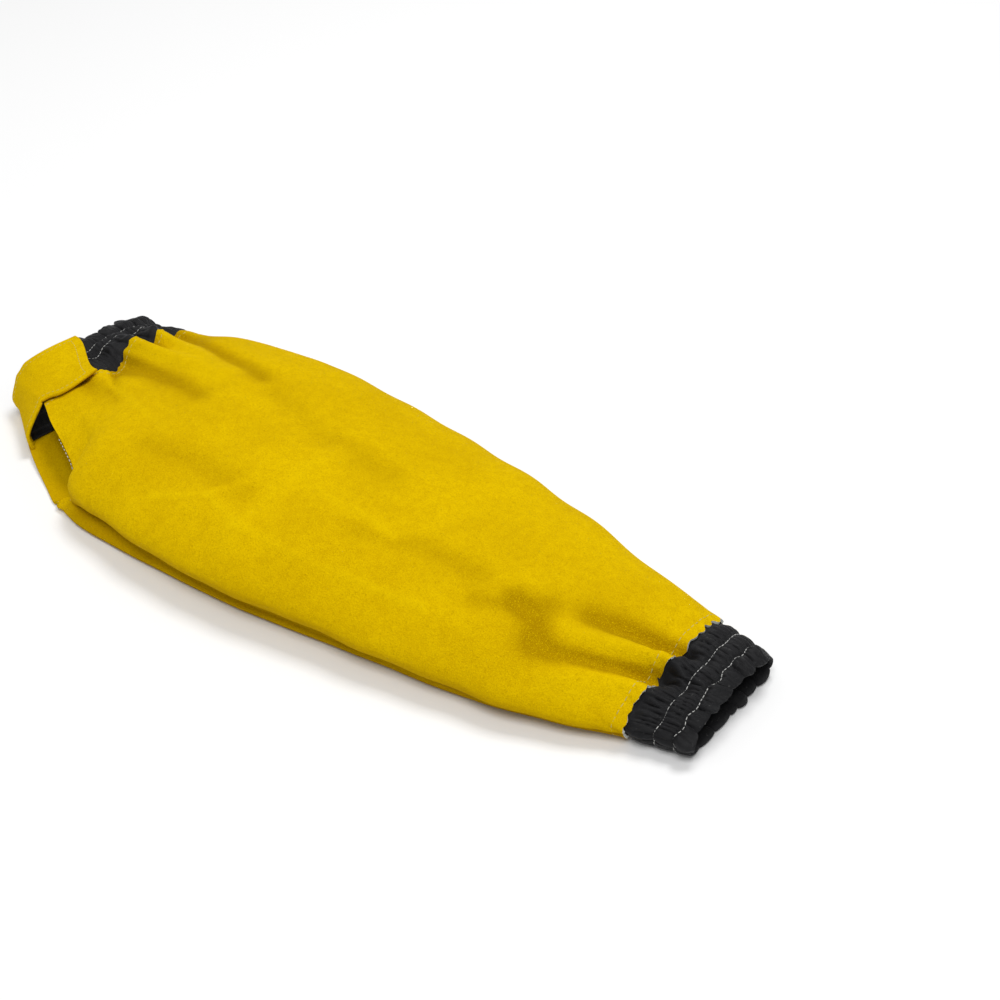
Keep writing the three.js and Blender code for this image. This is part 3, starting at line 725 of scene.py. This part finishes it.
def cuffSurface(c):
    sign, length = np.sign(c["hem"] - c["edge"]), abs(c["hem"] - c["edge"])
    r, shape = cuffRows, cuffShape
    start = c["edge"] - sign * sleeve["seamOverlap"]
    dense = np.arange(0, length + sleeve["seamOverlap"] + 6, shape["spacing"])
    columns = columnsAt((c["edge"] + c["hem"]) / 2, c["columns"], 0.0)
    base = sleeveGrid(start + sign * dense, columns, mainFolds + fineFolds)
    kept = smooth((dense - sleeve["seamOverlap"] - 1) / shape["foldFade"])
    kept = mix(1, c["foldsKept"], kept)[:, None, None]
    base = mix(sleeveGrid(start + sign * dense, columns, []), base, kept)  # folds fade towards the hem
    normals = gridNormals(base) * sign
    middle = base[len(base) // 2]
    along = lengthsAlong(middle)
    nearShare = smooth((middle[:, 1].max() - middle[:, 1]) / np.ptp(middle[:, 1]))
    ribs = gatherEdges(along[-1], c["ribPitch"])
    skirtEdges, headingEdges = widerEdges(ribs, c["skirtRibs"]), widerEdges(ribs, c["headingRibs"])
    zones = np.concatenate([
        np.linspace(-1, 0, r["tucked"], endpoint=False),
        np.linspace(0, 1, r["skirt"], endpoint=False),
        np.linspace(1, 2, r["channel"], endpoint=False),
        2 + np.sin(np.linspace(0, math.pi / 2, r["heading"])),
    ])[:, None]
    wave = unevenness(along, 0 * along, 4, 9, 22)
    rows = [mix(far, near, nearShare) * length + size * wave
            for far, near, size in zip(c["rowFar"], c["rowNear"], c["rowWave"])]
    skirt, channel, heading = clampShare(zones), clampShare(zones - 1), clampShare(zones - 2)
    inSkirt, inChannel, inHeading = zones < 1, (zones >= 1) & (zones < 2), zones >= 2
    lean = c["lean"] * np.sin(along / 13 + 1.0) * heading ** 1.5
    drift = along[None, :] + 0.9 * np.sin(along[None, :] / 11 + 1.3 * zones) * smooth(zones) + lean
    drift = np.clip(drift, 0, along[-1] - 1e-6)
    rib = puff(drift, ribs, 0.6)
    skirtPuff, headingPuff = puff(drift, skirtEdges, 0.8, 0.6), puff(drift, headingEdges, 0.7, 0.5)
    hem = length + c["hemReach"] * (headingPuff[-1] - 0.8)
    tuck = sleeve["seamOverlap"] - c["lowerTuck"] * smooth((0.3 - columns) / 0.1)
    reach = np.where(zones < 0, zones * tuck, 0) + np.where(zones >= 0, skirt * rows[0], 0)
    reach = reach + channel * (rows[1] - rows[0]) + heading * (hem - rows[1])
    crumple = c["wrinkle"] * wrinkles(drift, reach)
    pinched = np.exp(-((zones - 1) * shape["skirtDepth"] / shape["pinchWide"]) ** 2)
    pinched = pinched + np.exp(-((zones - 2) * shape["channelDepth"] / shape["pinchWide"]) ** 2)
    height = (
        inSkirt * c["skirtPuff"] * skirtPuff * np.sin(np.pi * skirt ** 0.75)
        + inSkirt * c["skirtRib"] * (rib - 0.3) * smooth(skirt * 1.6)
        + inChannel * c["channelRib"] * rib * (0.55 + 0.45 * np.sin(np.pi * channel))
        + inHeading * c["headingPuff"] * (headingPuff - 0.35) * np.sin(np.pi * heading ** 0.62)
        + inHeading * c["channelRib"] * 0.6 * rib * (1 - heading)
        + crumple * smooth(skirt * 4) * (1 - 0.7 * inChannel)
        - shape["pinch"] * pinched
    )
    tucked = -(halfLeather + sleeve["layerGap"])
    level = tucked * (1 - smooth((reach - 1.0) / shape["comingOut"])) - sleeve["clothThickness"] / 2
    place = (reach + sleeve["seamOverlap"]) / shape["spacing"]
    centre, normal = betweenRows(base, place), betweenRows(normals, place)
    normal = normal / np.linalg.norm(normal, axis=-1, keepdims=True)
    floor = floorRows(start + sign * dense)[:, :, None] * np.ones((1, base.shape[1], 1))
    floor = betweenRows(floor, place)[..., 0] - halfLeather
    # The gathers are flatter where the cloth lies on the floor
    lying = mix(shape["flattened"], 1, smooth((centre[..., 2] - floor - 1) / shape["fullHeight"]))
    fromSides = np.minimum(along, along[-1] - along)[None, :]
    if sign > 0:  # a closed ring has no sides
        fromSides = np.full_like(fromSides, np.inf)
    thick = inHeading * c["headingFull"] * headingPuff * np.sin(np.pi * heading ** 0.7)
    thick = thick + sleeve["clothThickness"]
    for distance, rounding in ((hem - reach, shape["rounding"]), (fromSides, shape["sideRounding"])):
        thick = thick * np.sqrt(clampShare(1 - (1 - clampShare(distance / rounding)) ** 2))
    thick = thick * smooth((zones + 1) * 6)
    level = level - (thick - sleeve["clothThickness"]) * 0.35 * inHeading
    outer = centre + normal * (level + height * lying + thick / 2)[..., None]
    inner = centre + normal * (level + (height + 0.5 * crumple) * lying * 0.8 - thick / 2)[..., None]
    outer[..., 2] = np.maximum(outer[..., 2], floor + shape["clearance"])
    inner[..., 2] = np.maximum(inner[..., 2], floor + shape["clearance"] + 0.5 * thick)
    inner = np.where((thick < 1e-6)[..., None], outer, inner)
    if sign > 0:
        outer[:, -1], inner[:, -1] = outer[:, 0], inner[:, 0]
    return outer, inner, {"row1": r["tucked"] + r["skirt"], "row2": r["tucked"] + r["skirt"] + r["channel"]}


cuffGrids = {}
for end, c in cuffs.items():
    outer, inner, rows = cuffSurface(c)
    cuff = closedSheet(c["name"] + "_cloth", outer, inner)
    cuff.data.materials.append(cotton)
    smoothShade(cuff, 80)
    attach(cuff, "root")
    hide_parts(c["name"])
    cuffGrids[end] = {"piece": cuff, "outer": outer, "inner": inner, **rows}
    print("cuff made", end, len(cuff.data.polygons))

# The closing tab
tab = {
    "across": 40, "along": 130, "rim": 1.0, "hump": 4.5, "drift": 8.0, "flare": 8.0,
    "bulgeByLeather": 2.5, "bulgeByHem": 8.0,
    "stitchEnd": 7.0, "stitchHem": 5.0, "stitchLeather": 3.6, "stitchLast": 0.56,
}


# Distances along a strip, with a few more near both ends for its rounded rim
def rimSpaced(length, count, rim):
    close = rim * np.array([0, 0.05, 0.2, 0.5, 0.9])
    return np.concatenate([close, np.linspace(rim * 1.4, length - rim * 1.4, count), length - close[::-1]])


# Points off the plain surface of the sleeve, at a place along it and a list of parameters
def offPlain(x, t, distance):
    about = sleeveGrid([x], clampShare(t + 0.003), [])[0] - sleeveGrid([x], clampShare(t - 0.003), [])[0]
    normal = np.cross(about, sleeveGrid([x + 0.5], t, [])[0] - sleeveGrid([x - 0.5], t, [])[0])
    return sleeveGrid([x], t, [])[0] + normal / np.linalg.norm(normal, axis=1, keepdims=True) * distance


# The tab's middle line at a place: from its free end over the slit to its sewn end under the lower flap
def tabLine(x, edgeX):
    rest = halfLeather + sleeve["tabGap"] + sleeve["tabThickness"] / 2
    wide = smooth((edgeX - x) / sleeve["tabWidth"])
    endY = mix(sleeve["tabEndByLeather"], sleeve["tabEndByHem"], wide) * halfWidth
    t, fine = np.linspace(0.6, 1, 401), np.linspace(0, 1, 1201)
    startX = x + sleeve["tabSkew"] + tab["flare"] * (0.5 - wide)
    startT = np.interp(-endY, -sleeveGrid([startX], t, [])[0][:, 1], t)
    upper = []
    for i in range(5):
        skewed = x + (sleeve["tabSkew"] + tab["flare"] * (0.5 - wide)) * (1 - smooth(i / 4))
        lifted = rest + tab["hump"] * wide * math.sin(math.pi * i / 5)
        upper.append(offPlain(skewed, np.array([mix(startT, 1, i / 4)]), lifted)[0])
    lengths = lengthsAlong(sleeveGrid([x], fine, [])[0])
    lower = offPlain(x, np.interp(np.linspace(0, sleeve["tabUnderLength"], 4), lengths, fine), rest)
    top, under = upper[-1], lower[0]
    bulge = mix(tab["bulgeByLeather"], tab["bulgeByHem"], wide)
    off = (top - upper[-2]) / np.linalg.norm(top - upper[-2]) * bulge
    bow = min(top[1] + off[1], under[1]) - bulge
    bridge = [
        top + 0.5 * off, top + off,
        np.array([x, bow, mix(under[2], top[2], 0.42)]),
        np.array([x, mix(bow, under[1], 0.4), mix(under[2], top[2], 0.14)]),
    ]
    for i, point in enumerate((*bridge, *lower)):
        point[0] += tab["drift"] * smooth(i / 3)
    line = onCurve(np.array([*upper, *bridge, *lower]), np.linspace(0, 1, 900))
    length = lengthsAlong(line)
    even = rimSpaced(length[-1], tab["along"], tab["rim"])
    line = np.stack([np.interp(even, length, line[:, k]) for k in range(3)], axis=1)
    line[:, 2] = np.maximum(line[:, 2], sleeve["tabThickness"] / 2)
    return line, even


edgeX = slitEdgeX + sleeve["tabOnLeather"]
tabAcross = rimSpaced(sleeve["tabWidth"], tab["across"], tab["rim"])
tabLines = [tabLine(edgeX - sleeve["tabWidth"] + d, edgeX) for d in tabAcross]
tabPoints = np.array([line for line, even in tabLines])
tabAlong = tabLines[0][1]
tabNormals = gridNormals(tabPoints)
tabNormals *= np.sign(tabNormals[len(tabPoints) // 2, 8, 2])
fromRim = np.minimum(tabAcross, tabAcross[-1] - tabAcross)[:, None]
fromRim = np.minimum(fromRim, np.minimum(tabAlong, tabAlong[-1] - tabAlong)[None, :])
tabHalf = sleeve["tabThickness"] / 2 * np.sqrt(clampShare(1 - (1 - clampShare(fromRim / tab["rim"])) ** 2))
tabOuter = tabPoints + tabNormals * tabHalf[..., None]
closureTab = closedSheet("tab", tabOuter, tabPoints - tabNormals * tabHalf[..., None])
closureTab.data.materials.append(suede)
smoothShade(closureTab, 80)
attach(closureTab, "root")
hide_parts("closure_tab")
print("tab made", len(closureTab.data.polygons))


# A row of stitches: one small capsule, copied along a path on a surface and joined
def stitchRow(name, path, normals, size, thread):
    length, gap, radius = size
    deselectAll()
    bpy.ops.mesh.primitive_uv_sphere_add(segments=6, ring_count=4, radius=1)
    capsule = bpy.context.object
    shape = np.array([v.co for v in capsule.data.vertices])
    faces = np.array([[*f.vertices, f.vertices[-1]][:4] for f in capsule.data.polygons])
    bpy.data.objects.remove(capsule)
    distance = lengthsAlong(path)
    pitch = length + gap
    count = max(1, int(distance[-1] / pitch))
    points, quads = [], []
    for i in range(count):
        at = (i + 0.5) * distance[-1] / count
        ends = [np.array([np.interp(at + d, distance, path[:, k]) for k in range(3)])
                for d in (-length / 2, length / 2)]
        up = np.array([np.interp(at, distance, normals[:, k]) for k in range(3)])
        tangent = ends[1] - ends[0]
        long = np.linalg.norm(tangent)
        tangent /= max(long, 1e-6)
        up = up - tangent * (up @ tangent)
        up /= max(np.linalg.norm(up), 1e-6)
        side = np.cross(up, tangent)
        centre = (ends[0] + ends[1]) / 2 + up * (radius * 0.55 - stitchSunk)
        z = shape[:, 2:3]
        along = np.sign(z) * np.abs(z) ** 0.6 * long / 2
        placed = centre + along * tangent + shape[:, 0:1] * side * radius + shape[:, 1:2] * up * radius
        quads.append(faces + len(points) * len(shape))
        points.append(placed)
    mesh = bpy.data.meshes.new(name)
    rows = [[a, b, c] if c == d else [a, b, c, d] for a, b, c, d in np.concatenate(quads).tolist()]
    mesh.from_pydata((np.concatenate(points) * millimetre).tolist(), [], rows)
    piece = bpy.data.objects.new(name, mesh)
    bpy.context.scene.collection.objects.link(piece)
    mesh.materials.append(thread)
    select(piece)
    bpy.ops.object.mode_set(mode="EDIT")
    bpy.ops.mesh.select_all(action="SELECT")
    bpy.ops.mesh.normals_make_consistent(inside=False)
    bpy.ops.object.mode_set(mode="OBJECT")
    bpy.ops.object.shade_smooth()
    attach(piece, "root")
    return piece


# A path along one row of a grid, at a height above it
def rowOnGrid(grid, normals, row, lift):
    column = np.linspace(0, grid.shape[1] - 1, grid.shape[1] * 2)
    row = np.full(len(column), float(row))
    up = onGrid(normals, row, column)
    return onGrid(grid, row, column) + up * lift, up


# Length, gap and radius of a stitch in each kind of seam
stitchSizes = {
    "leather": (3.0, 1.4, 0.24), "cuff": (2.4, 0.8, 0.24), "slit": (2.0, 1.2, 0.26), "tab": (2.3, 1.1, 0.2),
}
stitchSunk = 0.1
stitches = []
for end, edge in (("slit", slitEdgeX), ("plain", plainEdgeX)):
    inward = 1 if end == "slit" else -1
    row = np.interp(edge + inward * leather["stitchIn"], stations, np.arange(len(stations)))
    path, up = rowOnGrid(leatherPoints, leatherNormals, row, halfLeather)
    stitches.append(stitchRow("leather_stitches_" + end, path, up, stitchSizes["leather"], yellowThread))
    grid = cuffGrids[end]
    outward = gridNormals(grid["outer"]) * -inward
    for key in ("row1", "row2"):
        path, up = rowOnGrid(grid["outer"], outward, grid[key], 0.0)
        stitches.append(stitchRow(f"cuff_stitches_{end}_{key}", path, up, stitchSizes["cuff"], greyThread))
# The plain cuff's second row also shows inside its mouth
plain = cuffGrids["plain"]
path, up = rowOnGrid(plain["inner"], -gridNormals(plain["outer"]), plain["row2"] + 2, 0.1)
insideStitches = stitchRow("cuff_stitches_plain_inside", path, up, stitchSizes["cuff"], greyThread)

# Along the inner half of the slit's upper edge
slitRows = np.arange(leather["slitStitchedFrom"], int(np.sum(stations < slitEndX)) + 1)
slitPath = leatherPoints[slitRows, -1] + np.array([-0.5, -0.9, -0.2])
slitUp = np.tile([-0.3, -0.8, 0.5], (len(slitRows), 1))
slitStitches = stitchRow("slit_stitches", slitPath, slitUp, stitchSizes["slit"], greyThread)

# The tab's stitched rectangle
acrossRows, alongColumns = np.arange(len(tabAcross)), np.arange(len(tabAlong))
low = np.interp(tab["stitchHem"], tabAcross, acrossRows)
high = np.interp(sleeve["tabWidth"] - tab["stitchLeather"], tabAcross, acrossRows)
first = np.interp(tab["stitchEnd"], tabAlong, alongColumns)
last = np.interp(tab["stitchLast"] * tabAlong[-1], tabAlong, alongColumns)
corners = [(low, last), (low, first), (high, first), (high, last), (low, last)]
for (r0, c0), (r1, c1) in zip(corners[:-1], corners[1:]):
    row, column = np.linspace(r0, r1, 80), np.linspace(c0, c1, 80)
    path, up = onGrid(tabOuter, row, column), onGrid(tabNormals, row, column)
    name = "tab_stitches_" + str(len(stitches) - 5)
    stitches.append(stitchRow(name, path, up, stitchSizes["tab"], yellowThread))
print("stitches made", sum(len(piece.data.polygons) for piece in stitches))

# Floor, light and camera
stage = {"floorSize": 8.0, "floorDrop": -0.0003, "worldStrength": 0.36}
bpy.ops.mesh.primitive_plane_add(size=stage["floorSize"], location=(0, 0, stage["floorDrop"]))
floor = bpy.context.object
floor.name = "floor"
floor.data.materials.append(floorMaterial("pale floor"))

world = bpy.data.worlds.new("studio")
bpy.context.scene.world = world
world.use_nodes = True
background = world.node_tree.nodes["Background"].inputs
background["Color"].default_value = (1, 1, 1, 1)
background["Strength"].default_value = stage["worldStrength"]

lights = {  # place in metres, size in metres, power in watts
    "key": {"place": (-0.3, 1.3, 2.7), "size": 1.1, "power": 40},
    "top": {"place": (0.7, -1.1, 3.0), "size": 1.6, "power": 48},
}
for name, light in lights.items():
    bpy.ops.object.light_add(type="AREA", location=light["place"])
    lamp = bpy.context.object
    lamp.name = name
    lamp.data.shape = "SQUARE"
    lamp.data.size = light["size"]
    lamp.data.energy = light["power"]
    lamp.rotation_mode = "QUATERNION"
    lamp.rotation_quaternion = (-Vector(light["place"])).to_track_quat("-Z", "Y")

camera = {"place": (0.5982, -0.5456, 0.6107), "forward": (-0.5267, 0.6141, -0.5878), "lens": 57.6}
bpy.ops.object.camera_add(location=camera["place"])
eye = bpy.context.object
eye.rotation_mode = "QUATERNION"
eye.rotation_quaternion = Vector(camera["forward"]).to_track_quat("-Z", "Y")
eye.data.lens, eye.data.sensor_width = camera["lens"], 36
bpy.context.scene.camera = eye
bpy.context.scene.view_settings.view_transform = "Standard"
print("stage made")
